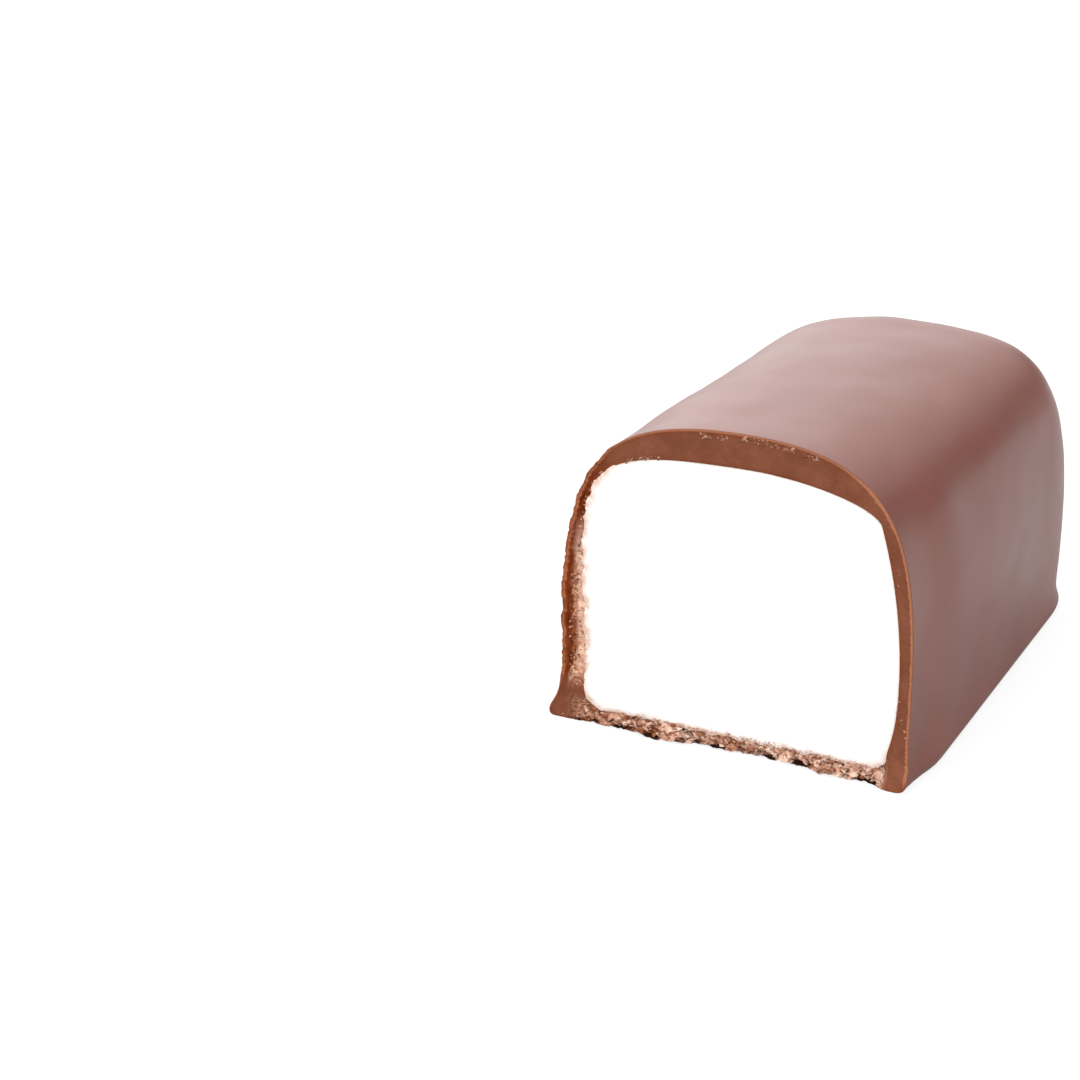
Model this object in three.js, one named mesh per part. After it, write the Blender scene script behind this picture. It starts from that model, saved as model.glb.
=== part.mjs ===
// Half of a chocolate-coated marshmallow bar, cut straight across.
//
// Two solids: the chocolate coating, a cup whose mouth is the cut face, and the marshmallow that
// fills it. X runs across the bar, +Y from the cut face to the closed end, +Z up, in millimetres.
// The origin is the middle of the underside.
import * as THREE from "three";
import { LoftGeometry } from "three/addons/geometries/LoftGeometry.js";
import { mergeVertices } from "three/addons/utils/BufferGeometryUtils.js";

// Driving dimensions of the coated bar.
const LENGTH = 38.6;
const HEIGHT = 20.8;
const HALF_WIDTH = 11.7;

// The coating's thickness on each side of the marshmallow.
const COAT = { top: 2.15, left: 1.8, right: 0.85, base: 0.95, end: 1.6 };

// Air left between the two solids.
const GAP = 0.12;

// The outline of the coated bar: an arch on two nearly upright walls, each with a flared foot.
const OUTSIDE = { shoulder: 7.5, fullness: 0.76, footHeight: 3.4, lean: -0.02 };
const OUTSIDE_LEFT = { toeRadius: 0.4, flare: 0.65 };
const OUTSIDE_RIGHT = { toeRadius: 0.65, flare: 0.2 };

// The outline of the hollow, which is squarer than the outside.
const HOLLOW_LEFT = {
  shoulder: 7.0, fullness: 0.93, toeRadius: 1.5, footHeight: 4.0, lean: 0.08, flare: 0.15,
};
const HOLLOW_RIGHT = {
  shoulder: 15.5, fullness: 0.48, toeRadius: 0.9, footHeight: 5.4, lean: -0.32, flare: -0.5,
};

// The closed end: how much of the length it rounds off and how square it is. Below tuckTop its wall
// is drawn in by tuck, and below footTop it stands out again by foot.
const END = { zone: 9.0, squareness: 3.6, tuck: 0.6, tuckTop: 6.0, foot: 0.65, footTop: 2.2 };

// The knife squeezed the bar narrower by this share at the cut, and over this length, which is
// shorter down at the foot.
const SQUEEZE = { share: 0.055, length: 9.0, footLength: 4.5, footTop: 5.0 };

// Further along, the shoulders fill out by this much, up and partly sideways.
const FILL_OUT = { by: 0.22, sideways: 0.3, along: [13, 25], across: [3, 9], up: [11, 16] };

// Slow swells of the cooled chocolate: their height, and the waves that they are the sum of, each
// with its turns in radians for a millimetre along X, Y and Z and where it starts.
const SWELL = 0.03;
const SWELL_TOP = 5.0;
const WAVES = [
  { turns: new THREE.Vector3(0.5, 0.42, 0), start: 0.9 },
  { turns: new THREE.Vector3(-0.43, 0.31, 0.35), start: 0 },
];

// The crumbled relief of the cut rim: its depth, and where it is deep. It is deepest in the base
// layer, less so up the thick left side, and faint elsewhere.
const CRUMBLE = 0.28;
const CRUMBLY = { baseTop: 2.4, leftReach: 3.0, leftTop: 14.0, left: 0.7, elsewhere: 0.12 };

// The lower cut edge: how high up it is bitten away, and its whole toes' width.
const BITE_TOP = 0.2;
const TOE_WIDTH = 2.0;

// The knife dragged the base forward by this much, out of the cut.
const LIP = { by: 0.6, up: [0.4, 1.4] };

// Where rings stand along the straight part, as shares of it, and how many round off the end.
const OUTSIDE_RINGS = { stations: [0, 0.025, 0.1, 0.24, 0.4, 0.56, 0.72, 0.86], atEnd: 15 };
const HOLLOW_RINGS = { stations: [0, 0.5], atEnd: 8 };
const RIM_RINGS = 3;
const FACE_RINGS = 3;

// Points on each stretch of half a section: base, toe, foot, wall, arch.
const STRETCH_POINTS = [16, 2, 4, 6, 17];

const chocolate = new THREE.MeshStandardMaterial({ color: 0x7d4a38, roughness: 0.38, metalness: 0 });
const foam = new THREE.MeshStandardMaterial({ color: 0xfffdf8, roughness: 0.85, metalness: 0 });

const { lerp, smoothstep, seededRandom } = THREE.MathUtils;

// From 1 at `low` and below, smoothly down to 0 at `high` and above.
const fade = (x, low, high) => 1 - smoothstep(x, low, high);

// Half of a section, from the middle of its base to its crown. `side` is -1 for left, 1 for right.
// The foot flares out from the wall. The wall stands upright on it and curves up to the shoulder,
// where it leans outwards by `lean` for each millimetre up.
function halfSection(s, side) {
  const wall = s.middle + side * s.halfWidth;
  const toe = wall + side * s.flare;
  const shoulder = s.base + s.shoulder;
  const top = wall + side * s.lean * (s.shoulder - s.footHeight) / 2;
  const rise = s.fullness * (s.crown - shoulder);
  const path = new THREE.Path();
  path.moveTo(s.middle, s.base);
  path.lineTo(toe - side * s.toeRadius, s.base);
  path.quadraticCurveTo(toe, s.base, toe, s.base + s.toeRadius);
  path.bezierCurveTo(
    toe, s.base + 0.3 * s.footHeight,
    wall, s.base + 0.4 * s.footHeight,
    wall, s.base + s.footHeight,
  );
  path.quadraticCurveTo(wall, s.base + (s.footHeight + s.shoulder) / 2, top, shoulder);
  path.bezierCurveTo(
    top + side * s.lean * rise, shoulder + rise,
    lerp(s.middle, top, s.fullness), s.crown,
    s.middle, s.crown,
  );
  return path.curves.flatMap((curve, i) => curve.getSpacedPoints(STRETCH_POINTS[i]).slice(0, -1));
}

// A closed section: from the base up the left side, over the crown and down the right side.
function section(left, right) {
  const crown = new THREE.Vector2(left.middle, left.crown);
  return [...halfSection(left, -1), crown, ...halfSection(right, 1).reverse().slice(0, -1)];
}

function outsideSection() {
  const both = { ...OUTSIDE, middle: 0, halfWidth: HALF_WIDTH, base: 0, crown: HEIGHT };
  return section({ ...both, ...OUTSIDE_LEFT }, { ...both, ...OUTSIDE_RIGHT });
}

// The section of the hollow, or of the marshmallow, which is smaller by `clearance` all round.
function hollowSection(clearance) {
  const both = {
    middle: (COAT.left - COAT.right) / 2,
    halfWidth: HALF_WIDTH - (COAT.left + COAT.right) / 2 - clearance,
    base: COAT.base + clearance,
    crown: HEIGHT - COAT.top - clearance,
  };
  return section({ ...both, ...HOLLOW_LEFT }, { ...both, ...HOLLOW_RIGHT });
}

// A section at y, drawn in towards the middle of its base.
function ring(outline, scale, y) {
  const [base] = outline;
  return outline.map((p) => new THREE.Vector3(lerp(base.x, p.x, scale), y, lerp(base.y, p.y, scale)));
}

// The closed end's profile, a rounded corner: x is the height left, y the reach along the bar.
class EndProfile extends THREE.Curve {
  getPoint(t, target = new THREE.Vector2()) {
    const angle = (Math.PI / 2) * t;
    const power = 2 / END.squareness;
    const height = t < 1 ? HEIGHT * Math.cos(angle) ** power : 0;
    return target.set(height, END.zone * Math.sin(angle) ** power);
  }
}

// Rings from the cut face to the closed end, where the last one is a point.
function barrel(outline, length, { stations, atEnd }) {
  const straight = length - END.zone;
  const profile = new EndProfile().getSpacedPoints(atEnd);
  return [
    ...stations.map((share) => ring(outline, 1, straight * share)),
    ...profile.map((p) => ring(outline, p.x / HEIGHT, straight + p.y)),
  ];
}

// How the soft coating settled: squeezed at the cut, drawn in and footed at the end, gently uneven.
function settle(p) {
  const height = smoothstep(p.z, 0, SQUEEZE.footTop);
  const along = smoothstep(p.y, 0, lerp(SQUEEZE.footLength, SQUEEZE.length, height));
  const wave = WAVES.reduce((sum, { turns, start }) => sum + Math.sin(turns.dot(p) + start), 0);
  const swell = (SWELL / HEIGHT) * wave * along * smoothstep(p.z, 0, SWELL_TOP);
  const atEnd = smoothstep(p.y, LENGTH - END.zone, LENGTH - 1);
  const tuck = END.tuck * fade(p.z, END.footTop / 2, END.tuckTop);
  const foot = END.foot * fade(p.z, 0, END.footTop);
  const fuller = FILL_OUT.by * smoothstep(p.y, ...FILL_OUT.along)
    * smoothstep(Math.abs(p.x), ...FILL_OUT.across) * smoothstep(p.z, ...FILL_OUT.up);
  const wider = 1 + SQUEEZE.share * along + swell;
  return new THREE.Vector3(
    p.x * wider + Math.sign(p.x) * FILL_OUT.sideways * fuller,
    p.y - (tuck - foot) * atEnd,
    p.z * (1 + swell) + fuller,
  );
}

// How crumbly the cut rim is at a point, from 0 to 1.
function crumbly(p) {
  const base = fade(p.z, CRUMBLY.baseTop / 2, CRUMBLY.baseTop);
  const left = fade(p.x, 1 - HALF_WIDTH, CRUMBLY.leftReach - HALF_WIDTH);
  const low = fade(p.z, 0.6 * CRUMBLY.leftTop, CRUMBLY.leftTop);
  return Math.max(base, CRUMBLY.left * left * low, CRUMBLY.elsewhere);
}

// The ring of cut coating between the hollow and the outside, with its crumbled relief.
function rimRings(hollow, outside) {
  const shares = Array.from({ length: RIM_RINGS - 1 }, (_, j) => (j + 1) / RIM_RINGS);
  return shares.map((share) => hollow.map((p, i) => {
    const q = new THREE.Vector3().lerpVectors(p, outside[i], share);
    q.y += CRUMBLE * crumbly(q) * seededRandom(i + 1000 * share);
    return q;
  }));
}

// The lower cut edge, dragged forward and bitten away upwards between its two toes.
function cutEdge(p, i) {
  const underside = fade(p.z, 0, BITE_TOP);
  const betweenToes = fade(Math.abs(p.x), HALF_WIDTH - TOE_WIDTH, HALF_WIDTH - TOE_WIDTH / 2);
  const bite = CRUMBLE * underside * betweenToes * seededRandom(i);
  return new THREE.Vector3(p.x, p.y - LIP.by * fade(p.z, ...LIP.up), p.z + bite);
}

// A loft whose end rings are points, with its seams merged and its collapsed triangles dropped.
function closedLoft(rings) {
  const loft = new LoftGeometry(rings);
  const bare = new THREE.BufferGeometry();
  bare.setAttribute("position", loft.getAttribute("position"));
  bare.setIndex(loft.index);
  const merged = mergeVertices(bare, 1e-4);
  const kept = [];
  for (let i = 0; i < merged.index.count; i += 3) {
    const corners = [0, 1, 2].map((k) => merged.index.getX(i + k));
    if (new Set(corners).size === 3) kept.push(...corners);
  }
  merged.setIndex(kept);
  merged.computeVertexNormals();
  return merged;
}

function part(name, rings, material) {
  const mesh = new THREE.Mesh(closedLoft(rings), material);
  mesh.name = name;
  return mesh;
}

// A cup: out of the hollow, over the cut rim and back along the outside.
function coating() {
  const hollow = barrel(hollowSection(0), LENGTH - COAT.end, HOLLOW_RINGS).reverse();
  const outside = barrel(outsideSection(), LENGTH, OUTSIDE_RINGS).map((points) => points.map(settle));
  outside[0] = outside[0].map(cutEdge);
  const rim = rimRings(hollow.at(-1), outside[0]);
  return part("chocolate_coating", [...hollow, ...rim, ...outside], chocolate);
}

// The filling: from the middle of its flat cut face outwards, then along its sides.
function filling() {
  const sides = barrel(hollowSection(GAP), LENGTH - COAT.end - GAP, HOLLOW_RINGS);
  const middle = new THREE.Vector3(sides[0][0].x, 0, HEIGHT / 2);
  const face = Array.from({ length: FACE_RINGS }, (_, j) => (
    sides[0].map((p) => new THREE.Vector3().lerpVectors(middle, p, j / FACE_RINGS))
  ));
  return part("marshmallow", [...face, ...sides], foam);
}

const bar = new THREE.Group();
bar.add(coating(), filling());

// The bar's box stands centred on the origin.
const box = new THREE.Box3().setFromObject(bar);
const centre = box.getCenter(new THREE.Vector3());
bar.position.set(-centre.x, -centre.y, -box.min.z);

export default bar;
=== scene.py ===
import bisect
import math
import random

import bmesh
import bpy
from mathutils import Euler, Matrix, Vector, noise
from mathutils.geometry import interpolate_bezier


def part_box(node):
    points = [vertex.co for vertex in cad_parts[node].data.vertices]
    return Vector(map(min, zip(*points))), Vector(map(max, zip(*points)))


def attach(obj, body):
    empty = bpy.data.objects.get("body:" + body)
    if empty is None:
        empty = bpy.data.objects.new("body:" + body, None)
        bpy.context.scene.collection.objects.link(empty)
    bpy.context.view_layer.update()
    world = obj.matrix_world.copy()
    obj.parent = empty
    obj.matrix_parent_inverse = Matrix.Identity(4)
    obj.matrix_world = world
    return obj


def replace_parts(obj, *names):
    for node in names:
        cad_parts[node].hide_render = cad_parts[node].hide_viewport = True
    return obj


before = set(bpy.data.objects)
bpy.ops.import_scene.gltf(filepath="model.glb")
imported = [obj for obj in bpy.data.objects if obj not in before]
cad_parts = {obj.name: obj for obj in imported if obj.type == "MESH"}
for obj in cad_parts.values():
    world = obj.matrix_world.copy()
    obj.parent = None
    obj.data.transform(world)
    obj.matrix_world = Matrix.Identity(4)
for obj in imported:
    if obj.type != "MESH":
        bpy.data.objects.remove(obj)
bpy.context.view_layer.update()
coatLow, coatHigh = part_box("chocolate_coating")
print("solids loaded")

# Everything is drawn in millimetres: x across the bar, y from the cut to the closed end, z up.
millimetre = 0.001

bar = {
    "length": 38.6,
    "height": 20.8,
    "halfWidth": 11.7,
    "top": 2.15,  # thickness of the coating on each side of the filling
    "left": 1.8,
    "right": 0.8,
    "base": 0.95,
    "end": 1.6,
    "endZone": 9.0,  # length that rounds off into the closed end
    "endSquareness": 3.6,
    "lip": 0.6,  # how far the base reaches forward out of the cut in the solids
    "innerEnd": (0.9, 0.7),  # sizes of the last sections of the hollow and of the filling
}

outsideShape = {
    "middle": 0,
    "halfWidth": bar["halfWidth"],
    "base": 0,
    "crown": bar["height"],
    "leftSide": {"shoulder": 7.5, "fullness": 0.76, "toeRadius": 0.4, "footHeight": 3.4,
                 "lean": -0.02, "flare": 0.65},
    "rightSide": {"shoulder": 7.5, "fullness": 0.76, "toeRadius": 0.65, "footHeight": 3.4,
                  "lean": -0.02, "flare": 0.2},
}

hollowShape = {
    "middle": (bar["left"] - bar["right"]) / 2,
    "halfWidth": bar["halfWidth"] - (bar["left"] + bar["right"]) / 2,
    "base": bar["base"],
    "crown": bar["height"] - bar["top"],
    "leftSide": {"shoulder": 7.0, "fullness": 0.93, "toeRadius": 1.5, "footHeight": 4.0,
                 "lean": 0.08, "flare": 0.15},
    "rightSide": {"shoulder": 15.5, "fullness": 0.48, "toeRadius": 0.9, "footHeight": 5.4,
                  "lean": -0.32, "flare": -0.5},
}

curvePoints = {"toe": 9, "foot": 25, "wall": 41, "arch": 81}
nearlyZero = 1e-6


def lerp(a, b, t):
    return a + (b - a) * t


def ramp(x, low, high):  # smoothly from 0 at low to 1 at high
    t = min(max((x - low) / (high - low), 0), 1)
    return t * t * (3 - 2 * t)


def wave(x, z, seed):  # a slow wander between about -0.5 and 0.5
    return noise.noise(Vector((x, seed, z)))


def lump(x, z, size):  # 0 on a crumb to 1 in the crease between two, and the crumb's own tone
    near, points = noise.voronoi(Vector((x / size, 0, z / size)))
    own = 0.5 + 1.3 * noise.noise(points[0] * 7.3)
    return near[0] / near[1], min(max(own, 0), 1)


def halfOutline(shape, side):  # base, side and top of one half, from the middle of the base
    foot = shape["leftSide"] if side < 0 else shape["rightSide"]
    base = shape["base"]
    wall = shape["middle"] + side * shape["halfWidth"]
    toe = wall + side * foot["flare"]
    shoulder = base + foot["shoulder"]
    footTop = base + foot["footHeight"]
    top = wall + side * foot["lean"] * (foot["shoulder"] - foot["footHeight"]) / 2
    rise = foot["fullness"] * (shape["crown"] - shoulder)
    corner = Vector((toe, base))
    toeStart = Vector((toe - side * foot["toeRadius"], base))
    toeEnd = Vector((toe, base + foot["toeRadius"]))
    toeLine = interpolate_bezier(
        toeStart, toeStart.lerp(corner, 2 / 3), toeEnd.lerp(corner, 2 / 3), toeEnd,
        curvePoints["toe"])
    wallStart = Vector((wall, footTop))
    wallEnd = Vector((top, shoulder))
    footLine = interpolate_bezier(
        toeEnd,
        Vector((toe, base + max(0.3 * foot["footHeight"], foot["toeRadius"]))),
        Vector((wall, base + 0.4 * foot["footHeight"])),
        wallStart, curvePoints["foot"])
    bend = Vector((wall, (footTop + shoulder) / 2))
    wallLine = interpolate_bezier(
        wallStart, wallStart.lerp(bend, 2 / 3), wallEnd.lerp(bend, 2 / 3), wallEnd,
        curvePoints["wall"])
    archLine = interpolate_bezier(
        wallEnd,
        Vector((top + side * foot["lean"] * rise, shoulder + rise)),
        Vector((lerp(shape["middle"], top, foot["fullness"]), shape["crown"])),
        Vector((shape["middle"], shape["crown"])), curvePoints["arch"])

    # The parts meet halfway round the toe and halfway over the arch.
    toeMiddle = curvePoints["toe"] // 2
    archMiddle = curvePoints["arch"] // 2
    basePart = [Vector((shape["middle"], base))] + toeLine[:toeMiddle + 1]
    sidePart = toeLine[toeMiddle:] + footLine[1:] + wallLine[1:] + archLine[1:archMiddle + 1]
    return basePart, sidePart, archLine[archMiddle:]


def evenly(points, count):  # the same line with its points at even distances
    reach = [0]
    for a, b in zip(points, points[1:]):
        reach.append(reach[-1] + (b - a).length)
    spaced = []
    for i in range(count + 1):
        distance = reach[-1] * i / count
        k = min(bisect.bisect_right(reach, distance), len(points) - 1)
        share = (distance - reach[k - 1]) / (reach[k] - reach[k - 1])
        spaced.append(points[k - 1].lerp(points[k], share))
    return spaced


def outlineStrands(shape, count):  # base, right side, top and left side, each with its two ends
    leftBase, leftSide, leftTop = halfOutline(shape, -1)
    rightBase, rightSide, rightTop = halfOutline(shape, 1)
    lines = [
        leftBase[::-1] + rightBase[1:],
        rightSide,
        rightTop + leftTop[::-1][1:],
        leftSide[::-1],
    ]
    return [evenly(line, count) for line in lines]


def strandsLoop(strands):
    return [point for strand in strands for point in strand[:-1]]


def patchPoint(strands, i, j):  # a point of the flat patch between four strands
    base, right, top, left = strands
    count = len(base) - 1
    u = i / count
    v = j / count
    across = base[i].lerp(top[count - i], v) + left[count - j].lerp(right[j], u)
    return across - base[0].lerp(base[-1], u).lerp(top[-1].lerp(top[0], u), v)


def gridWithLoop(bm, count):  # a square grid, its vertices by (i, j), and its outer loop from the base
    made = bmesh.ops.create_grid(bm, x_segments=count, y_segments=count, size=1)["verts"]
    byPlace = {(round((v.co.x + 1) / 2 * count), round((v.co.y + 1) / 2 * count)): v for v in made}
    steps = range(count)
    loop = [byPlace[i, 0] for i in steps] + [byPlace[count, j] for j in steps]
    loop += [byPlace[count - i, count] for i in steps] + [byPlace[0, count - j] for j in steps]
    return byPlace, loop


def extrudeLoop(bm, loop, places, material=0):  # one more ring of faces, its new edge at places
    edges = [bm.edges.get((a, b)) for a, b in zip(loop, loop[1:] + loop[:1])]
    made = bmesh.ops.extrude_edge_only(bm, edges=edges)["geom"]
    fresh = {v for v in made if isinstance(v, bmesh.types.BMVert)}
    for face in made:
        if isinstance(face, bmesh.types.BMFace):
            face.material_index = material
    ring = [next(e.other_vert(v) for e in v.link_edges if e.other_vert(v) in fresh) for v in loop]
    for v, place in zip(ring, places):
        v.co = place
    return ring


def splitLoop(bm, loop, parts):  # the same loop with each of its edges cut into equal parts
    finer = []
    for a, b in zip(loop, loop[1:] + loop[:1]):
        finer.append(a)
        for left in range(parts, 1, -1):
            edge, a = bmesh.utils.edge_split(bm.edges.get((a, b)), a, 1 / left)
            finer.append(a)
    return finer


def makePiece(bm, name, materials):  # from millimetres at the cut to metres in the frame
    rightEdge = (bar["halfWidth"] + outsideShape["rightSide"]["flare"]) * (1 + coat["squeeze"])
    shift = (coatHigh.x - rightEdge * millimetre, coatLow.y + bar["lip"] * millimetre, 0)
    bmesh.ops.scale(bm, vec=[millimetre] * 3, verts=bm.verts)
    bmesh.ops.translate(bm, vec=shift, verts=bm.verts)
    mesh = bpy.data.meshes.new(name)
    bm.to_mesh(mesh)
    bm.free()
    mesh.shade_smooth()
    for material in materials:
        mesh.materials.append(material)
    piece = bpy.data.objects.new(name, mesh)
    bpy.context.scene.collection.objects.link(piece)
    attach(piece, "root")
    print(name, len(mesh.polygons), "faces")
    return piece


# Shader nodes.
def addNode(tree, kind, values=None, **settings):
    node = tree.nodes.new(kind)
    for key, value in settings.items():
        setattr(node, key, value)
    for key, value in (values or {}).items():
        node.inputs[key].default_value = value
    return node


def plug(tree, socket, value):  # value is another socket or a constant
    if isinstance(value, bpy.types.NodeSocket):
        tree.links.new(value, socket)
    else:
        socket.default_value = value


def mixColours(tree, share, a, b, blend="MIX"):
    node = addNode(tree, "ShaderNodeMix", data_type="RGBA", blend_type=blend)
    plug(tree, node.inputs[0], share)
    plug(tree, node.inputs[6], a)
    plug(tree, node.inputs[7], b)
    return node.outputs[2]


def calculate(tree, operation, a, b):
    node = addNode(tree, "ShaderNodeMath", operation=operation)
    plug(tree, node.inputs[0], a)
    plug(tree, node.inputs[1], b)
    return node.outputs[0]


def toneColours(tree, tone, stops):  # colours along a value
    node = addNode(tree, "ShaderNodeValToRGB")
    elements = node.color_ramp.elements
    while len(elements) < len(stops):
        elements.new(0.5)
    for element, (place, colour) in zip(elements, stops):
        element.position = place
        element.color = colour
    tree.links.new(tone, node.inputs["Fac"])
    return node.outputs["Color"]


def attribute(tree, name):
    return addNode(tree, "ShaderNodeAttribute", attribute_name=name).outputs["Fac"]


def softPatchesGroup():  # soft patches from 0 to 1 that change over the surface
    group = bpy.data.node_groups.new("softPatches", "ShaderNodeTree")
    for name in ("Scale", "Detail", "Low", "High"):
        group.interface.new_socket(name, in_out="INPUT", socket_type="NodeSocketFloat")
    group.interface.new_socket("Mask", in_out="OUTPUT", socket_type="NodeSocketFloat")
    enter = addNode(group, "NodeGroupInput")
    leave = addNode(group, "NodeGroupOutput")
    place = addNode(group, "ShaderNodeTexCoord")
    cloud = addNode(group, "ShaderNodeTexNoise", {"Roughness": 0.55})
    reach = addNode(group, "ShaderNodeMapRange", interpolation_type="SMOOTHSTEP")
    group.links.new(place.outputs["Object"], cloud.inputs["Vector"])
    group.links.new(enter.outputs["Scale"], cloud.inputs["Scale"])
    group.links.new(enter.outputs["Detail"], cloud.inputs["Detail"])
    group.links.new(cloud.outputs["Fac"], reach.inputs["Value"])
    group.links.new(enter.outputs["Low"], reach.inputs["From Min"])
    group.links.new(enter.outputs["High"], reach.inputs["From Max"])
    group.links.new(reach.outputs["Result"], leave.inputs["Mask"])
    return group


softPatches = softPatchesGroup()


def patches(tree, scale, detail=3.0, low=0.35, high=0.65):
    node = addNode(tree, "ShaderNodeGroup", node_tree=softPatches)
    for key, value in (("Scale", scale), ("Detail", detail), ("Low", low), ("High", high)):
        node.inputs[key].default_value = value
    return node.outputs["Mask"]


def bump(tree, height, distance):
    node = addNode(tree, "ShaderNodeBump", {"Distance": distance})
    tree.links.new(height, node.inputs["Height"])
    return node.outputs["Normal"]


def newMaterial(name):
    material = bpy.data.materials.new(name)
    material.use_nodes = True
    return material, material.node_tree, material.node_tree.nodes["Principled BSDF"]


skinFinish = {
    "colour": (0.213, 0.066, 0.048, 1),
    "deep": (0.194, 0.060, 0.043, 1),
    "toneScale": 90,
    "roughness": 0.29,
    "unevenness": 0.04,  # of the roughness
    "unevenScale": 130,
    "ior": 1.5,
}


def skinMaterial():
    material, tree, shader = newMaterial("milkChocolate")
    shader.inputs["IOR"].default_value = skinFinish["ior"]
    tone = patches(tree, skinFinish["toneScale"], 2)
    tree.links.new(
        mixColours(tree, tone, skinFinish["deep"], skinFinish["colour"]), shader.inputs["Base Color"])
    uneven = patches(tree, skinFinish["unevenScale"], 2)
    uneven = calculate(tree, "MULTIPLY", uneven, skinFinish["unevenness"])
    tree.links.new(calculate(tree, "ADD", uneven, skinFinish["roughness"]), shader.inputs["Roughness"])
    return material


cutFinish = {
    "light": (0.200, 0.068, 0.037, 1),
    "deep": (0.157, 0.050, 0.025, 1),
    "groove": (0.152, 0.027, 0.002, 1),
    # painted shade: dark streaks down the left side's groove; the same colour also darkens the left
    # foot's tone
    "streakShade": (0.072, 0.012, 0.001, 1),
    # painted highlight: the pale line where light catches the raised outer edge of the cut
    "ridgeHighlight": (0.330, 0.130, 0.070, 1),
    # crumb colours from dark to pale; the pale end is painted glints, standing in for light caught on
    # crumb facets
    "crumbTonesAndGlints": (
        (0.0, (0.110, 0.028, 0.008, 1)),
        (0.25, (0.250, 0.080, 0.032, 1)),
        (0.5, (0.420, 0.210, 0.140, 1)),
        (0.75, (0.610, 0.370, 0.275, 1)),
        (1.0, (0.850, 0.600, 0.460, 1)),
    ),
    # painted shade: near-black colour in the creases between lumps, and painted shadow in the hollows
    # beneath the base's edge
    "creaseShade": (0.022, 0.005, 0.002, 1),
    "smear": (0.720, 0.480, 0.370, 1),
    "warmth": (1.0, 0.86, 0.72, 1),
    "toneScale": 420,
    "grainScale": 3600,
    "grainDepth": 0.00005,
    "roughness": 0.6,
    "specular": 0.06,
}


def cutMaterial():
    material, tree, shader = newMaterial("cutChocolate")
    shader.inputs["Roughness"].default_value = cutFinish["roughness"]
    shader.inputs["Specular IOR Level"].default_value = cutFinish["specular"]
    tone = patches(tree, cutFinish["toneScale"], 4)
    colour = mixColours(tree, tone, cutFinish["deep"], cutFinish["light"])
    colour = mixColours(tree, attribute(tree, "groove"), colour, cutFinish["groove"])
    # painted shade in the groove's streaks, and the darker left foot
    colour = mixColours(tree, attribute(tree, "streakShade"), colour, cutFinish["streakShade"])
    # crumb colours, whose pale end paints glints on the facets
    crumb = toneColours(tree, attribute(tree, "tone"), cutFinish["crumbTonesAndGlints"])
    # painted shade in the creases and painted shadow beneath the base's edge
    crumb = mixColours(tree, attribute(tree, "creaseShade"), crumb, cutFinish["creaseShade"])
    colour = mixColours(tree, attribute(tree, "crumbly"), colour, crumb)
    # painted highlight along the raised outer edge
    colour = mixColours(tree, attribute(tree, "ridgeHighlight"), colour, cutFinish["ridgeHighlight"])
    colour = mixColours(tree, attribute(tree, "warm"), colour, cutFinish["warmth"], "MULTIPLY")
    colour = mixColours(tree, attribute(tree, "smear"), colour, cutFinish["smear"])
    tree.links.new(colour, shader.inputs["Base Color"])
    grain = patches(tree, cutFinish["grainScale"], 4, 0.2, 0.8)
    tree.links.new(bump(tree, grain, cutFinish["grainDepth"]), shader.inputs["Normal"])
    return material


foamFinish = {
    "light": (0.840, 0.830, 0.815, 1),
    # painted shade: the foam a little darker in its pores
    "poreShade": (0.800, 0.785, 0.765, 1),
    # cream near the edge of the cut face, with painted shade and a painted warm reflection of the
    # chocolate
    "rim": (0.800, 0.745, 0.700, 1),
    "stain": (0.640, 0.460, 0.380, 1),
    "poreScale": 2600,
    "poreDepth": 0.00002,
    "roughness": 0.9,
    "specular": 0.2,
}


def foamMaterial():
    material, tree, shader = newMaterial("marshmallowFoam")
    shader.inputs["Roughness"].default_value = foamFinish["roughness"]
    shader.inputs["Specular IOR Level"].default_value = foamFinish["specular"]
    pores = patches(tree, foamFinish["poreScale"], 4, 0.3, 0.6)
    # painted shade in the pores
    colour = mixColours(tree, pores, foamFinish["poreShade"], foamFinish["light"])
    # cream tint near the edge, with painted shade and painted reflection of the chocolate
    colour = mixColours(tree, attribute(tree, "rim"), colour, foamFinish["rim"])
    colour = mixColours(tree, attribute(tree, "stain"), colour, foamFinish["stain"])
    tree.links.new(colour, shader.inputs["Base Color"])
    tree.links.new(bump(tree, pores, foamFinish["poreDepth"]), shader.inputs["Normal"])
    return material


crumbFinish = {
    "shade": (0.75, 0.72, 0.70, 1),
    "shadeScale": 3000,
    "roughness": 0.45,
    "specular": 0.3,
}


def crumbMaterial():
    material, tree, shader = newMaterial("chocolateCrumb")
    shader.inputs["Roughness"].default_value = crumbFinish["roughness"]
    shader.inputs["Specular IOR Level"].default_value = crumbFinish["specular"]
    # the pale tones paint glints on the crumbs' facets
    colour = toneColours(tree, attribute(tree, "tone"), cutFinish["crumbTonesAndGlints"])
    colour = mixColours(tree, attribute(tree, "warm"), colour, cutFinish["warmth"], "MULTIPLY")
    shade = mixColours(tree, patches(tree, crumbFinish["shadeScale"]), crumbFinish["shade"], (1, 1, 1, 1))
    tree.links.new(mixColours(tree, 1.0, colour, shade, "MULTIPLY"), shader.inputs["Base Color"])
    return material


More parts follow.
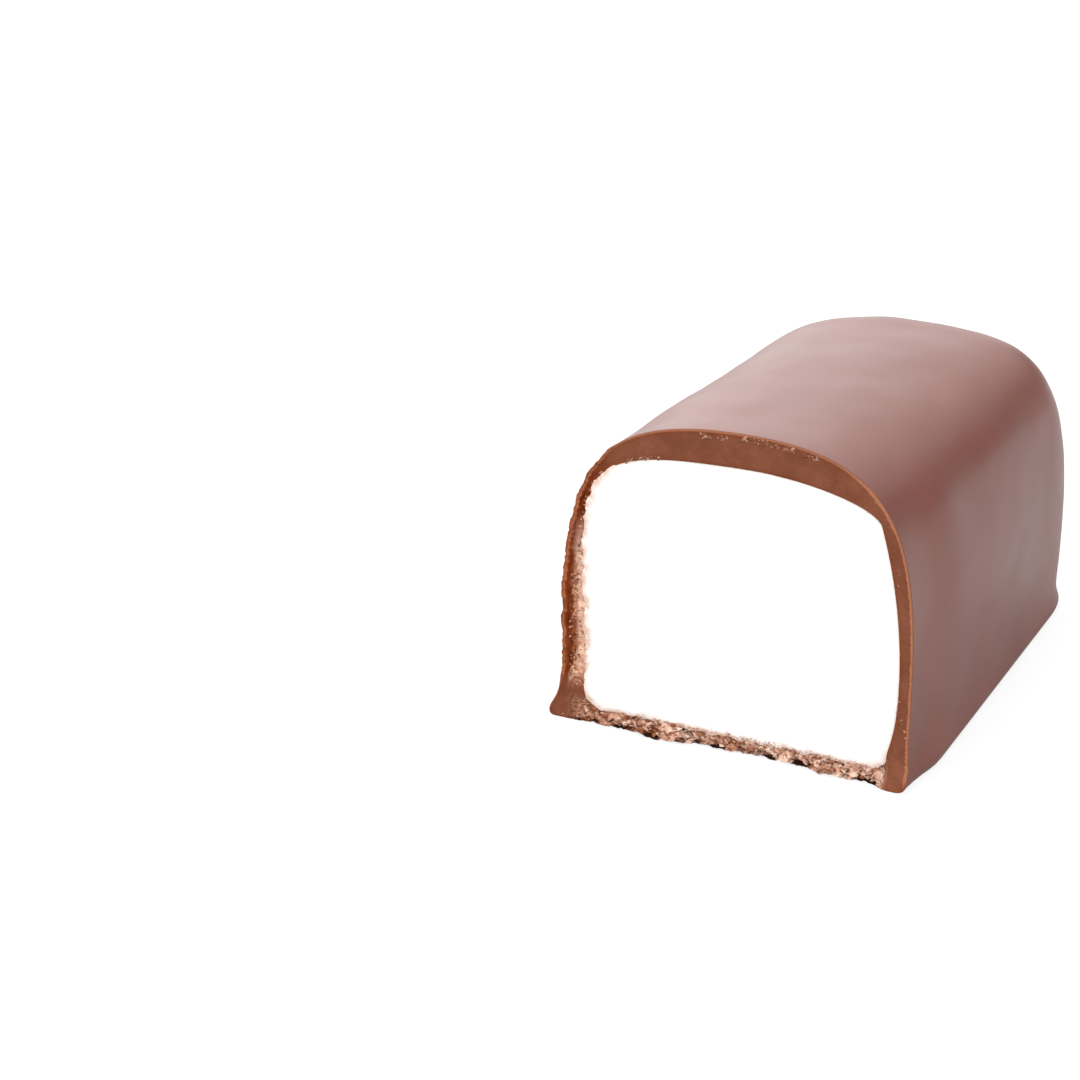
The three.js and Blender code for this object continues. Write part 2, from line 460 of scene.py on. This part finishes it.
# The coating.
coat = {
    "cells": 112,  # along each of the outline's four strands
    "fineness": 3,  # parts of a cell near the cut
    "fineFrom": 0.6,  # distance from the cut where the finer cells begin
    "capShare": 0.9,  # size of the end wall's patch against the whole section
    "endRings": 14,
    "ringStep": 0.8,  # between rings along the straight part
    "fineSteps": 4,
    "rimRows": 24,
    "rimCrowding": 1.3,  # above 1, rows stand closer near the outer edge
    "hollowRings": (0.6, 1.5, 5.0, 13.0, 22.0),
    "roundedEdge": ((0.0, 0.11), (0.03, 0.04), (0.08, 0.0)),  # inset and depth
    "squeeze": 0.055,  # narrower by this share at the cut, over squeezeLength
    "squeezeLength": 9.0,
    "squeezeFoot": 4.5,  # the same length down at the foot, below footEnd
    "footEnd": 5.0,
    "swell": 0.03,  # how far slow waves lift the top
    "swellTop": 5.0,
    "waves": ((Vector((0.5, 0.42, 0)), 0.9), (Vector((-0.43, 0.31, 0.35)), 0)),
    "fillOut": 0.22,  # further along, the shoulders are fuller
    "fillOutSideways": 0.3,  # of which this share goes sideways
    "fillOutFrom": {"along": (13, 25), "across": (3, 9), "up": (11, 16)},
    "tuck": 0.6,  # at the closed end, its wall is drawn in and its foot stands out
    "tuckTop": 6.0,
    "tuckMargin": 1,  # both are complete this far from the end
    "foot": 0.65,
    "footTop": 2.2,
    "slowWander": {"by": 0.16, "turns": 1.1, "length": 1.6},  # of the left edge of the cut
    "quickWander": {"by": 0.08, "turns": 4, "length": 0.5},
    "dimple": 0.18,  # how far the skin sinks in its shallow dimples
    "dimpleSize": 5.5,
    "dimpleFrom": {"up": (0.2, 2.0), "along": (0, 4)},
    "bite": 0.22,  # how deep the lower cut edge is bitten away
    "biteTop": 0.8,
    "biteLength": (0.1, 1.4),
    "biteToes": (1.8, 0.8),  # distances from the widest points where it ends
    "lipUp": (0.4, 1.4),  # heights over which the dragged base's reach fades
    "lipLength": 2.5,
    "lip": (  # how far the dragged base reaches forward, from left to right
        (-12.6, 0.40), (-6.5, 0.42), (-5.3, 0.78), (-3.2, 0.72), (-1.8, 0.10), (0.0, 0.28),
        (1.5, 0.0), (3.6, 0.0), (4.4, 0.30), (5.1, 0.10), (6.4, 0.60), (8.0, 0.42), (9.5, 0.25),
        (10.4, 0.75), (12.0, 0.75),
    ),
}


def edgeWander(x, z, y=0):  # how far the left edge of the cut wanders sideways
    sideways = 0
    for seed, wander in ((61, coat["slowWander"]), (62, coat["quickWander"])):
        fade = 1 - ramp(y, 0, wander["length"])
        sideways += wander["by"] * wave(x, z * wander["turns"], seed) * fade
    return leftBand(x, z) * sideways


def settle(p):  # squeezed at the cut, drawn in and footed at the closed end, gently uneven
    length = lerp(coat["squeezeFoot"], coat["squeezeLength"], ramp(p.z, 0, coat["footEnd"]))
    along = ramp(p.y, 0, length)
    ripple = sum(math.sin(turns.dot(p) + start) for turns, start in coat["waves"])
    swell = coat["swell"] / bar["height"] * ripple * along * ramp(p.z, 0, coat["swellTop"])
    atEnd = ramp(p.y, bar["length"] - bar["endZone"], bar["length"] - coat["tuckMargin"])
    tuck = coat["tuck"] * (1 - ramp(p.z, coat["footTop"] / 2, coat["tuckTop"]))
    foot = coat["foot"] * (1 - ramp(p.z, 0, coat["footTop"]))
    start = coat["fillOutFrom"]
    fuller = coat["fillOut"] * ramp(p.y, *start["along"])
    fuller *= ramp(abs(p.x), *start["across"]) * ramp(p.z, *start["up"])
    outwards = math.copysign(coat["fillOutSideways"] * fuller, p.x)
    return Vector((
        p.x * (1 + coat["squeeze"] * along + swell) + outwards + edgeWander(p.x, p.z, p.y),
        p.y - (tuck - foot) * atEnd,
        p.z * (1 + swell) + fuller,
    ))


def endReach(share):  # how far the closed end reaches where the section has shrunk to this share
    power = bar["endSquareness"]
    return bar["endZone"] * max(1 - share ** power, 0) ** (1 / power)


def shareForReach(reach):
    power = bar["endSquareness"]
    return max(1 - (reach / bar["endZone"]) ** power, 0) ** (1 / power)


def closeInside(bm, loop, outline, rings):  # on along the bar, and closed inside the far end
    for y in rings:
        loop = extrudeLoop(bm, loop, [Vector((p.x, y, p.y)) for p in outline])
    depth = bar["length"] - bar["end"]
    low = bar["base"]
    for share in bar["innerEnd"]:
        y = depth - bar["endZone"] + endReach(share)
        loop = extrudeLoop(bm, loop, [
            Vector((p.x * share, y, low + (p.y - low) * share)) for p in outline])
    bm.faces.new(loop)


def radiusTable(outline):  # angles and radii of the outline about the middle of the base
    polar = sorted((math.atan2(p.y, p.x), p.length) for p in outline if p.y > nearlyZero)
    return [angle for angle, radius in polar], [radius for angle, radius in polar]


def outlineShare(table, p, baseReach):  # the size of the section that just holds p
    angles, radii = table
    if p.y < nearlyZero:
        return abs(p.x) / baseReach[0 if p.x < 0 else 1]
    angle = math.atan2(p.y, p.x)
    k = min(max(bisect.bisect_left(angles, angle), 1), len(angles) - 1)
    t = (angle - angles[k - 1]) / (angles[k] - angles[k - 1])
    return p.length / lerp(radii[k - 1], radii[k], min(max(t, 0), 1))


def lipReach(x):
    stations = coat["lip"]
    x = min(max(x, stations[0][0]), stations[-1][0])
    k = next(k for k in range(1, len(stations)) if x <= stations[k][0])
    (x0, y0), (x1, y1) = stations[k - 1], stations[k]
    return lerp(y0, y1, ramp(x, x0, x1))


# How the cut chocolate looks. An inset is a distance from the outer edge, and a height is above the
# base. A pair is where something begins and where it is complete.
cutRim = {
    "toes": (1.6, 1.0),  # at this distance from the widest points, the crumbly base ends in smooth toes
    "leftToe": (0.4, 1.6),
    "crumblyTop": (1.0, 2.0),
    "leftSide": (2.5, 4.5),  # widths of the left side and of its foot
    "leftFoot": (2.0, 3.2),
    "leftFrom": (1.8, 3.4),  # height where the left side starts
    "leftFootTop": (2.0, 3.5),
    "leftFootShade": 0.22,
    "rightSide": (6, 9),
    "slowWander": 0.3,  # how far the bands along the rim stray
    "quickWander": 0.12,
    "ridgeHighlight": 0.09,  # width of the painted highlight on the raised outer edge, and what each side adds
    "ridgeOnRight": 0.14,
    "ridgeOnLeft": 0.12,
    "ridgeFade": 0.08,
    "ridgeFrom": (0.3, 1.0),
    "grooveStart": (0, 0.1),  # insets of the left side's groove, which deepens in two steps
    "groove": (0.28, 0.42),
    "grooveDepth": 0.26,
    "grooveTop": (15, 18.5),
    "streaks": (0.25, 0.4),
    "porous": (0.58, 0.85),  # insets and heights of the porous band beside the groove
    "porousTop": (10.5, 14.5),
    "smear": (0.2, 0.9),  # distances from the filling
    "smearFrom": (2.5, 4.0),
    "smearShare": 0.75,
    "edgeTint": 0.3,
    "lumpSize": 0.5,
    "smallLumps": 0.45,  # size of the small lumps against the big ones
    "lumpRelief": 0.4,
    "undercut": (0.14, 0.30),  # insets and depth of the shadowed hollows beneath the base's edge, which also get painted shadow
    "undercutDepth": 0.35,
}


def baseCrumbliness(x, z):
    edge = bar["halfWidth"]
    rightFrom, rightTo = cutRim["toes"]
    leftFrom, leftTo = cutRim["leftToe"]
    toes = max(ramp(x, edge - rightFrom, edge - rightTo), 1 - ramp(x, leftFrom - edge, leftTo - edge))
    return (1 - ramp(z, *cutRim["crumblyTop"])) * (1 - toes)


def nearLeft(x, widths):
    low, high = widths
    return 1 - ramp(x, low - bar["halfWidth"], high - bar["halfWidth"])


def leftBand(x, z):
    return nearLeft(x, cutRim["leftSide"]) * ramp(z, *cutRim["leftFrom"])


def cutLook(x, z, inset, left):  # depth and looks of the cut coating; left is what's left to the filling
    base = baseCrumbliness(x, z)
    onLeft = leftBand(x, z)
    onRight = ramp(x, *cutRim["rightSide"])
    wander = cutRim["slowWander"] * wave(x * 0.3, z * 0.9, 0)
    wander += cutRim["quickWander"] * wave(x, z * 4, 5)
    fine = wave(x * 3, z * 5, 81)

    # A painted highlight follows the raised outer edge. On the left a groove and a porous band lie inside
    # it, with painted shade in dark streaks down the groove.
    # painted highlight along the raised outer edge
    ridgeWidth = cutRim["ridgeHighlight"] + (cutRim["ridgeOnRight"] + 0.1 * fine) * onRight
    ridgeWidth += (cutRim["ridgeOnLeft"] + 0.2 * wander + 0.12 * fine) * onLeft
    ridgeHighlight = 1 - ramp(inset, ridgeWidth, ridgeWidth + cutRim["ridgeFade"])
    ridgeHighlight *= (1 - base) * ramp(z, *cutRim["ridgeFrom"])
    ridgeHighlight *= 0.7 + 0.3 * onRight + (0.1 + 0.8 * wave(x, z * 1.7, 11) + 0.6 * fine) * onLeft
    groove = 0.45 * ramp(inset, *cutRim["grooveStart"])
    groove += 0.55 * ramp(inset + 0.5 * wander, *cutRim["groove"])
    groove *= onLeft
    grooveTint = (0.95 + 0.5 * wave(inset * 8, z * 0.8, 3)) * (1 - ramp(z, *cutRim["grooveTop"]))
    # painted shade in streaks down the groove
    streakShade = ramp(inset, *cutRim["streaks"]) * ramp(wave(inset * 6, z * 1.1, 71), 0.0, 0.25)
    porousBand = onLeft * (1 - ramp(z, *cutRim["porousTop"]))
    porous = porousBand * ramp(inset + wander, *cutRim["porous"])
    streakShade *= 0.8 * onLeft * (1 - porous) * (1 - ramp(z, *cutRim["grooveTop"]))
    leftFoot = nearLeft(x, cutRim["leftFoot"]) * (1 - ramp(z, *cutRim["leftFootTop"]))
    edges = max(1 - ramp(inset, 0.15, 0.5), 1 - ramp(left, 0.1, 0.5)) * (1 - base) * (1 - onLeft)
    smear = porousBand * ramp(z, *cutRim["smearFrom"]) * (1 - ramp(left + wander, *cutRim["smear"]))

    # Big and small lumps with creases between them cover the base and the porous band. The creases get
    # painted shade, and the hollows beneath the base's edge get painted shadow.
    crumbly = max(base, 0.9 * porous)
    lumpX = (x + 0.3 * wave(x * 2, z * 2, 21)) * lerp(1.0, 0.6, base)
    lumpZ = z + 0.3 * wave(x * 2, z * 2, 31)
    bigCrease, bigTone = lump(lumpX, lumpZ * lerp(1.0, 0.7, porous), cutRim["lumpSize"])
    smallCrease, smallTone = lump(lumpX + 3.1, lumpZ, cutRim["lumpSize"] * cutRim["smallLumps"])
    creaseShade = 0.55 * bigCrease ** 2 + 0.45 * smallCrease ** 2
    # painted shade in the deepest creases between lumps
    pitShade = ramp(creaseShade, lerp(0.55, 0.6, base), lerp(0.9, 0.95, base)) * (1 - 0.4 * smear)
    # painted shadow in recessed hollows beneath the base's edge
    shadowedUndercut = base * (1 - ramp(inset, *cutRim["undercut"])) * ramp(wave(x * 0.9, 0, 8), -0.1, 0.12)
    chunk = 0.5 + wave(x * 0.8, z * 0.8, 17)
    relief = cutRim["lumpRelief"] * (0.45 * creaseShade + 0.4 * (1 - bigTone) + 0.3 * chunk)
    paler = base * (0.42 * ramp(x, -8, -2) - 0.20 + 0.35 * wave(x * 0.7, z, 41))
    paler += porous * (0.3 * ramp(inset, 0.7, 1.4) - 0.06)
    return {
        "depth": relief * crumbly + cutRim["grooveDepth"] * groove * (1 - porous)
        + cutRim["undercutDepth"] * shadowedUndercut,
        "crumbly": crumbly,
        "creaseShade": max(pitShade, shadowedUndercut) * min(1, 2 * crumbly),
        "tone": min(max(0.5 * bigTone + 0.5 * smallTone + paler, 0), 1),
        "smear": cutRim["smearShare"] * smear,
        "ridgeHighlight": min(max(ridgeHighlight, 0), 1),
        "groove": min(groove * grooveTint + cutRim["edgeTint"] * edges, 1),
        # painted streak shade, and the left foot darkened with the same colour
        "streakShade": max(streakShade, cutRim["leftFootShade"] * leftFoot),
        "warm": onLeft,
    }


def cutPoint(a, b, inset):  # a point of the cut, this far in from the outside a to the hollow b
    thickness = (a - b).length
    p = a.lerp(b, inset / thickness)
    look = cutLook(p.x, p.y, inset, thickness - inset)
    forward = lipReach(p.x) * (1 - ramp(a.y, *coat["lipUp"])) * max(1 - inset / thickness, 0)
    return Vector((p.x, look["depth"] - forward, p.y)), look


lookNames = ("crumbly", "creaseShade", "tone", "smear", "ridgeHighlight", "groove", "streakShade", "warm")


def addRimRow(bm, loop, places, cuts):  # one more row over the cut, with its looks as attributes
    loop = extrudeLoop(bm, loop, places, 1)
    for name in lookNames:
        layer = bm.verts.layers.float[name]
        for v, (p, look) in zip(loop, cuts):
            v[layer] = look[name]
    return loop


def coatingPiece():
    cells = coat["cells"]
    straight = bar["length"] - bar["endZone"]
    strands = outlineStrands(outsideShape, cells)
    outline = strandsLoop(strands)
    fineOutline = strandsLoop(outlineStrands(outsideShape, cells * coat["fineness"]))
    fineHollow = strandsLoop(outlineStrands(hollowShape, cells * coat["fineness"]))
    table = radiusTable(outline)
    flat = [p.x for p in outline if p.y < nearlyZero]
    baseReach = (-min(flat), max(flat))
    bm = bmesh.new()
    for name in lookNames:
        bm.verts.layers.float.new(name)

    # The end wall is a grid laid over the closed end.
    byPlace, loop = gridWithLoop(bm, cells)
    small = [[p * coat["capShare"] for p in strand] for strand in strands]
    for (i, j), v in byPlace.items():
        p = patchPoint(small, i, j)
        v.co = settle(Vector((p.x, straight + endReach(outlineShare(table, p, baseReach)), p.y)))

    # Rings go round the closed end's corner, then along the straight part.
    firstReach = endReach(coat["capShare"])
    for k in range(1, coat["endRings"] + 1):
        reach = firstReach * (1 - k / coat["endRings"])
        share = shareForReach(reach)
        blend = (1 - share) / (1 - coat["capShare"])
        places = []
        for p in outline:
            q = p * share
            own = endReach(outlineShare(table, q, baseReach)) if p.y < nearlyZero else reach
            places.append(settle(Vector((q.x, straight + lerp(reach, own, blend), q.y))))
        loop = extrudeLoop(bm, loop, places)
    coarse = round((straight - coat["fineFrom"]) / coat["ringStep"])
    for k in range(1, coarse + 1):
        y = lerp(straight, coat["fineFrom"], k / coarse)
        loop = extrudeLoop(bm, loop, [settle(Vector((p.x, y, p.y))) for p in outline])
    loop = splitLoop(bm, loop, coat["fineness"])
    for v, p in zip(loop, fineOutline):
        v.co = settle(Vector((p.x, coat["fineFrom"], p.y)))
    for k in range(1, coat["fineSteps"] + 1):
        y = lerp(coat["fineFrom"], coat["roundedEdge"][0][1], k / coat["fineSteps"])
        loop = extrudeLoop(bm, loop, [settle(Vector((p.x, y, p.y))) for p in fineOutline])

    # The skin sinks in shallow dimples.
    bmesh.ops.recalc_face_normals(bm, faces=bm.faces)
    bm.normal_update()
    dimpleFrom = coat["dimpleFrom"]
    for v in bm.verts:
        calm = ramp(v.co.z, *dimpleFrom["up"]) * ramp(v.co.y, *dimpleFrom["along"])
        place = Vector((v.co.x, v.co.y * 0.7, v.co.z)) / coat["dimpleSize"]
        sink = 0.5 + 0.5 * noise.fractal(place, 1.0, 2.3, 2)
        v.co -= v.normal * coat["dimple"] * min(max(sink, 0), 1) * calm
        low = (1 - ramp(v.co.z, *coat["lipUp"])) * (1 - ramp(v.co.y, 0, coat["lipLength"]))
        v.co.y -= lipReach(v.co.x) * low

    # The cut rim is a rounded edge, then rows over the crumbly chocolate to the hollow.
    fineOutline = [p + Vector((edgeWander(p.x, p.y), 0)) for p in fineOutline]
    for inset, depth in coat["roundedEdge"][1:]:
        cuts = [cutPoint(a, b, inset) for a, b in zip(fineOutline, fineHollow)]
        places = [p + Vector((0, depth - look["depth"], 0)) for p, look in cuts]
        loop = addRimRow(bm, loop, places, cuts)
    rimStart = coat["roundedEdge"][-1][0]
    for k in range(1, coat["rimRows"] + 1):
        share = (k / coat["rimRows"]) ** coat["rimCrowding"]
        cuts = [cutPoint(a, b, lerp(rimStart, (a - b).length, share))
                for a, b in zip(fineOutline, fineHollow)]
        loop = addRimRow(bm, loop, [p for p, look in cuts], cuts)

    closeInside(bm, loop, fineHollow, coat["hollowRings"])

    # The lower cut edge is bitten away between its two toes.
    toesFrom, toesTo = [bar["halfWidth"] - distance for distance in coat["biteToes"]]
    for v in bm.verts:
        underneath = 1 - ramp(v.co.z, 0, coat["biteTop"])
        toes = ramp(abs(v.co.x), toesFrom, toesTo)
        near = 1 - ramp(v.co.y, *coat["biteLength"])
        ragged = 0.4 + 0.7 * noise.fractal(Vector((v.co.x * 0.8, 0, 2.0)), 0.5, 2.3, 5)
        v.co.z += coat["bite"] * underneath * near * (1 - toes) * min(max(ragged, 0), 1)
    bmesh.ops.recalc_face_normals(bm, faces=bm.faces)
    return makePiece(bm, "chocolateCoating", (skinMaterial(), cutMaterial()))


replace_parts(coatingPiece(), "chocolate_coating")


# The marshmallow.
foam = {
    "cells": 180,
    "shares": (0.02, 0.1, 0.2, 0.3, 0.4, 0.5, 0.6, 0.7, 0.78, 0.85, 0.9, 0.925, 0.94, 0.955, 0.965,
               0.975, 0.983, 0.99, 0.995, 1.0),  # sizes of the cut face's rings against the whole
    "tintFrom": 0.92,
    "overlap": 0.05,  # how far it reaches into the coating, so that no gap shows
    "ragged": 0.13,  # how far its edge wanders in the cut, most on the base and the left
    "raggedElsewhere": 0.25,
    "deepest": 0.12,
    "hollowed": 0.03,
    "edgeDrop": 0.08,  # how far its cut face falls back at the very edge
    "stainRise": 0.6,  # how much higher the stain reaches than the crumbly base
    "rings": (0.2, 0.6, 1.5, 4.0, 12.0, 22.0),
}


def marshmallowPiece():
    middle = Vector((hollowShape["middle"], bar["height"] / 2))
    outline = []
    for p in strandsLoop(outlineStrands(hollowShape, foam["cells"])):
        rough = foam["raggedElsewhere"] + baseCrumbliness(p.x, p.y) + leftBand(p.x, p.y)
        wander = noise.fractal(Vector((p.x, 7.0, p.y)) * 1.1, 0.7, 2.2, 4)
        reach = foam["overlap"] + foam["ragged"] * rough * wander
        outline.append(p + (p - middle).normalized() * max(reach, -foam["deepest"]))
    bm = bmesh.new()
    rimLayer = bm.verts.layers.float.new("rim")
    stainLayer = bm.verts.layers.float.new("stain")

    # The cut face, in rings from the middle outwards.
    loop = bmesh.ops.create_circle(bm, cap_ends=True, segments=len(outline), radius=1)["verts"]
    for n, share in enumerate(foam["shares"]):
        edge = ramp(share, foam["tintFrom"], 1)
        places = []
        for p in outline:
            q = middle.lerp(p, share)
            hollowed = foam["hollowed"] * (0.5 + wave(q.x * 0.35, q.y * 0.35, 3))
            places.append(Vector((q.x, hollowed + foam["edgeDrop"] * edge ** 6, q.y)))
        if n:
            loop = extrudeLoop(bm, loop, places)
        for v, place in zip(loop, places):
            v.co = place
            onBase = baseCrumbliness(place.x, place.z - foam["stainRise"])
            where = onBase * edge ** 3 + leftBand(place.x, place.z) * edge ** 1.5
            spots = 0.7 + 1.3 * wave(place.x * 1.5, place.z * 1.5, 51)
            spots += 0.8 * wave(place.x * 5, place.z * 5, 52)
            # cream tint near the edge, with painted shade and painted reflection of the chocolate
            v[rimLayer] = edge ** 2
            v[stainLayer] = min(max(where * spots, 0), 1)
    closeInside(bm, loop, outline, foam["rings"])
    bmesh.ops.recalc_face_normals(bm, faces=bm.faces)
    return makePiece(bm, "marshmallowFilling", (foamMaterial(),))


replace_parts(marshmallowPiece(), "marshmallow")


# Crumbs that the knife left on the cut, and finer ones smeared onto the filling along the base.
# Places are strand numbers round the outline, from the left toe: base 0 to 1, right side to 2, top
# to 3, left side to 4. Reach runs from the outside, 0, to the filling, 1.
crumbs = {
    "seed": 7,
    "steps": 400,
    "tilt": 0.6,
    "stretch": ((0.9, 2.2), (0.6, 1.1), (0.5, 1.0)),
    "standOut": (-0.1, 0.4),  # forward of the surface, against the size
    "chipped": 0.25,  # how far each corner strays, against the size
    "mottled": 0.12,
    "proud": 0.1,  # how far past the dragged base they may reach
    "fields": (
        # Along the base.
        {"count": 85, "places": (0.07, 0.30), "reach": (0.10, 1.05), "sizes": (0.05, 0.16),
         "tones": (0.1, 0.7)},
        {"count": 245, "places": (0.30, 0.95), "reach": (0.10, 1.05), "sizes": (0.05, 0.20),
         "tones": (0.15, 0.95)},
        {"count": 40, "places": (0.01, 0.10), "reach": (0.10, 0.9), "sizes": (0.04, 0.09),
         "tones": (0.1, 0.6)},
        # Down the left side.
        {"count": 110, "places": (3.44, 3.92), "reach": (0.32, 0.74), "sizes": (0.04, 0.10),
         "tones": (0.05, 0.7)},
        {"count": 110, "places": (3.42, 3.92), "reach": (0.70, 1.02), "sizes": (0.04, 0.11),
         "tones": (0.35, 1.0)},
        {"count": 80, "places": (3.02, 3.40), "reach": (0.66, 1.06), "sizes": (0.04, 0.10),
         "tones": (0.1, 0.7)},
        # Over the top.
        {"count": 90, "places": (2.22, 2.47), "reach": (0.05, 0.19), "sizes": (0.04, 0.13),
         "tones": (0.05, 0.62)},
        {"count": 30, "places": (2.51, 2.62), "reach": (0.10, 0.26), "sizes": (0.04, 0.11),
         "tones": (0.05, 0.62)},
        {"count": 30, "places": (2.74, 2.90), "reach": (0.86, 1.03), "sizes": (0.04, 0.11),
         "tones": (0.05, 0.65)},
        # Up the right side.
        {"count": 12, "places": (1.16, 1.22), "reach": (0.1, 1.0), "sizes": (0.04, 0.08),
         "tones": (0.1, 0.6)},
        {"count": 14, "places": (1.25, 1.95), "reach": (0.5, 1.0), "sizes": (0.03, 0.07),
         "tones": (0.1, 0.6)},
    ),
    "smear": {"count": 300, "places": (0.12, 0.97), "spread": 0.12, "sizes": (0.02, 0.05),
              "tones": (0.4, 0.9), "depth": 0.03},
}


def crumbsPiece():
    draw = random.Random(crumbs["seed"])
    outline = strandsLoop(outlineStrands(outsideShape, crumbs["steps"]))
    hollow = strandsLoop(outlineStrands(hollowShape, crumbs["steps"]))
    middle = Vector((hollowShape["middle"], bar["height"] / 2))
    bm = bmesh.new()
    toneLayer = bm.verts.layers.float.new("tone")
    warmLayer = bm.verts.layers.float.new("warm")

    def addCrumb(p, size, tone):
        tilt = [draw.gauss(0, crumbs["tilt"]) for axis in range(3)]
        stretch = [draw.uniform(*reach) for reach in crumbs["stretch"]]
        forward = draw.uniform(*crumbs["standOut"]) * size
        place = Matrix.Translation((p.x, p.y - forward, max(p.z, 1.1 * size)))
        shape = Euler(tilt).to_matrix().to_4x4() @ Matrix.Diagonal(stretch + [1])
        made = bmesh.ops.create_icosphere(bm, subdivisions=1, radius=size, matrix=place @ shape)
        for v in made["verts"]:
            chip = crumbs["chipped"] * size
            v.co += Vector([draw.uniform(-chip, chip) for axis in range(3)])
            v.co.y = max(v.co.y, -bar["lip"] - crumbs["proud"])
            v.co.z = max(v.co.z, 0)
            mottle = draw.uniform(-crumbs["mottled"], crumbs["mottled"])
            v[toneLayer] = min(max(tone + mottle, 0), 1)
            v[warmLayer] = leftBand(p.x, p.z)

    for field in crumbs["fields"]:
        for n in range(field["count"]):
            i = int(draw.uniform(*field["places"]) * crumbs["steps"])
            a, b = outline[i], hollow[i]
            p, look = cutPoint(a, b, (a - b).length * draw.uniform(*field["reach"]))
            addCrumb(p, lerp(*field["sizes"], draw.random() ** 2), draw.uniform(*field["tones"]))
    smear = crumbs["smear"]
    for n in range(smear["count"]):
        i = int(draw.uniform(*smear["places"]) * crumbs["steps"])
        inward = (middle - hollow[i]).normalized()
        p = hollow[i] + inward * abs(draw.gauss(0, smear["spread"]))
        place = Vector((p.x, smear["depth"], p.y))
        addCrumb(place, draw.uniform(*smear["sizes"]), draw.uniform(*smear["tones"]))
    bmesh.ops.recalc_face_normals(bm, faces=bm.faces)
    piece = makePiece(bm, "cutCrumbs", (crumbMaterial(),))
    piece.data.shade_flat()


crumbsPiece()


# Floor, light and camera. A light's bearing is in degrees from straight in front, to the right.
studio = {
    "floorSize": 3.0,
    "floorGap": 0.00001,
    "floorSeen": (0.25, 0.25, 0.25, 1),
    "floorGlow": 0.8,
    "floorReflected": (0.53, 0.53, 0.53, 1),
    "dimmest": 0.25,
    "lights": (
        {"bearing": 15, "height": 24, "halfWidth": 58, "strength": 2.59},
        {"bearing": -100, "height": 62, "halfWidth": 45, "strength": 2.1},
        {"bearing": 165, "height": 35, "halfWidth": 25, "strength": 0.99},
        {"bearing": -142, "height": 20, "halfWidth": 46, "strength": 1.48},
        {"bearing": -72, "height": 38, "halfWidth": 56, "strength": 0.37},
        {"bearing": 62, "height": 6, "halfWidth": 42, "strength": 0.72},
    ),
    "lens": 68.33,
    "filmWidth": 36,
    "nearest": 0.01,
    "cameraPlace": (0.044088, -0.127585, 0.05660),
    "cameraTurn": (69.95, 0, 27.72),
}


def makeFloor():
    bm = bmesh.new()
    bmesh.ops.create_grid(bm, x_segments=1, y_segments=1, size=studio["floorSize"] / 2)
    bmesh.ops.translate(bm, vec=(0, 0, -studio["floorGap"]), verts=bm.verts)
    mesh = bpy.data.meshes.new("floor")
    bm.to_mesh(mesh)
    bm.free()
    material, tree, shader = newMaterial("paleFloor")
    seen = addNode(tree, "ShaderNodeLightPath").outputs["Is Camera Ray"]
    colour = mixColours(tree, seen, studio["floorReflected"], studio["floorSeen"])
    tree.links.new(colour, shader.inputs["Base Color"])
    tree.links.new(calculate(tree, "MULTIPLY", seen, studio["floorGlow"]),
                   shader.inputs["Emission Strength"])
    shader.inputs["Emission Color"].default_value = (1, 1, 1, 1)
    shader.inputs["Roughness"].default_value = 1.0
    shader.inputs["Specular IOR Level"].default_value = 0.0
    mesh.materials.append(material)
    floor = bpy.data.objects.new("floor", mesh)
    bpy.context.scene.collection.objects.link(floor)


def makeWorld():
    world = bpy.data.worlds.new("studio")
    bpy.context.scene.world = world
    world.use_nodes = True
    tree = world.node_tree
    background = tree.nodes["Background"]
    direction = addNode(tree, "ShaderNodeTexCoord").outputs["Generated"]
    strength = studio["dimmest"]
    for light in studio["lights"]:
        bearing = math.radians(light["bearing"])
        height = math.radians(light["height"])
        dot = addNode(tree, "ShaderNodeVectorMath", operation="DOT_PRODUCT")
        tree.links.new(direction, dot.inputs[0])
        dot.inputs[1].default_value = (
            math.sin(bearing) * math.cos(height), -math.cos(bearing) * math.cos(height), math.sin(height))
        glow = addNode(tree, "ShaderNodeMapRange", {
            "From Min": math.cos(math.radians(light["halfWidth"])), "From Max": 1.0,
            "To Max": light["strength"],
        }, interpolation_type="SMOOTHSTEP")
        tree.links.new(dot.outputs["Value"], glow.inputs["Value"])
        strength = calculate(tree, "ADD", glow.outputs["Result"], strength)
    seen = addNode(tree, "ShaderNodeLightPath").outputs["Is Camera Ray"]
    behind = addNode(tree, "ShaderNodeMix", data_type="FLOAT")
    plug(tree, behind.inputs[0], seen)
    plug(tree, behind.inputs[2], strength)
    plug(tree, behind.inputs[3], 1.0)
    tree.links.new(behind.outputs[0], background.inputs["Strength"])
    background.inputs["Color"].default_value = (1, 1, 1, 1)


def makeCamera():
    camera = bpy.data.cameras.new("camera")
    camera.lens = studio["lens"]
    camera.sensor_width = studio["filmWidth"]
    camera.clip_start = studio["nearest"]
    eye = bpy.data.objects.new("camera", camera)
    eye.location = studio["cameraPlace"]
    eye.rotation_euler = [math.radians(turn) for turn in studio["cameraTurn"]]
    bpy.context.scene.collection.objects.link(eye)
    bpy.context.scene.camera = eye


makeFloor()
makeWorld()
makeCamera()
bpy.context.scene.view_settings.view_transform = "Standard"
print("studio ready")
